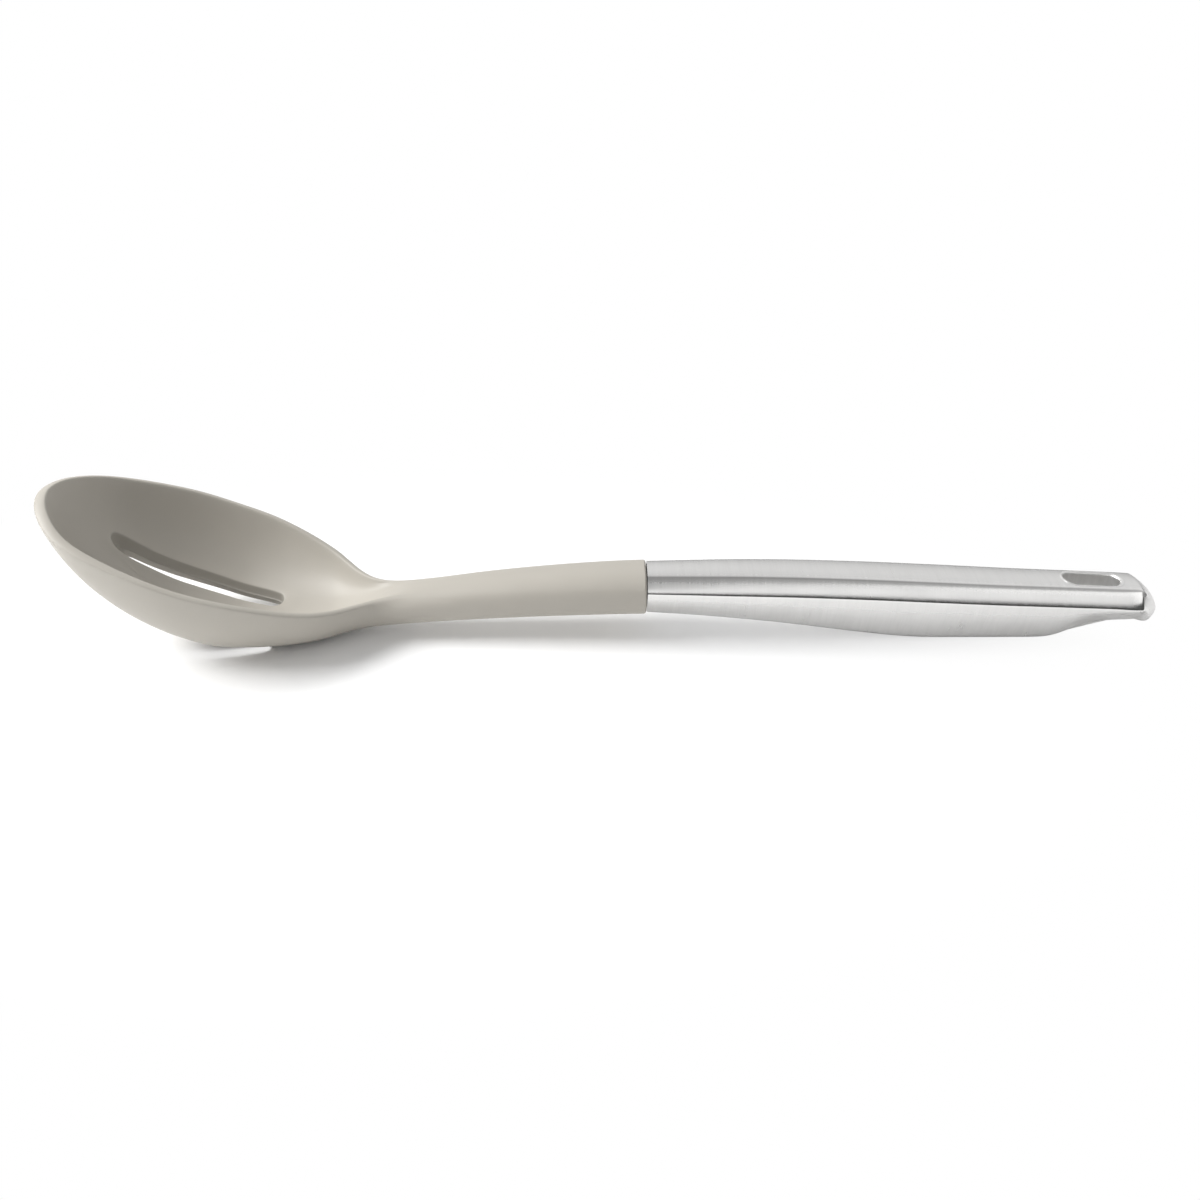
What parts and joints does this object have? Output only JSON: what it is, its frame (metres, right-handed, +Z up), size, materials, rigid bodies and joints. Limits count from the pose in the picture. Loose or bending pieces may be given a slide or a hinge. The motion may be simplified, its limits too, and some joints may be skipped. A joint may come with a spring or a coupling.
{
  "type": "slotted spoon",
  "caption": "Slotted serving spoon with a nylon bowl, curved slots, a rising shank and a hollow faceted steel handle with a long hang hole.",
  "frame": {"origin": "on the table, under the middle of the spoon's length and width, with the belly of the handle resting on the table", "axes": "+X along the spoon from the bowl towards the end of the handle, +Y across it, +Z up out of the open side of the bowl"},
  "size_m": [0.346, 0.0622, 0.0509],
  "materials": {
    "nylon": "warm grey moulded nylon, fine matt grain",
    "insert": "dark moulded plastic, hidden in the handle",
    "steel_upper": "satin stainless steel, finely brushed",
    "steel_lower": "satin stainless steel, finely brushed",
    "steel_sleeve": "satin stainless steel"
  },
  "bodies": {
    "root": {"spoon_head": "nylon", "tang_socket": "insert", "handle_upper_shell": "steel_upper", "handle_lower_shell": "steel_lower", "hang_hole_sleeve": "steel_sleeve"}
  },
  "joints": []
}
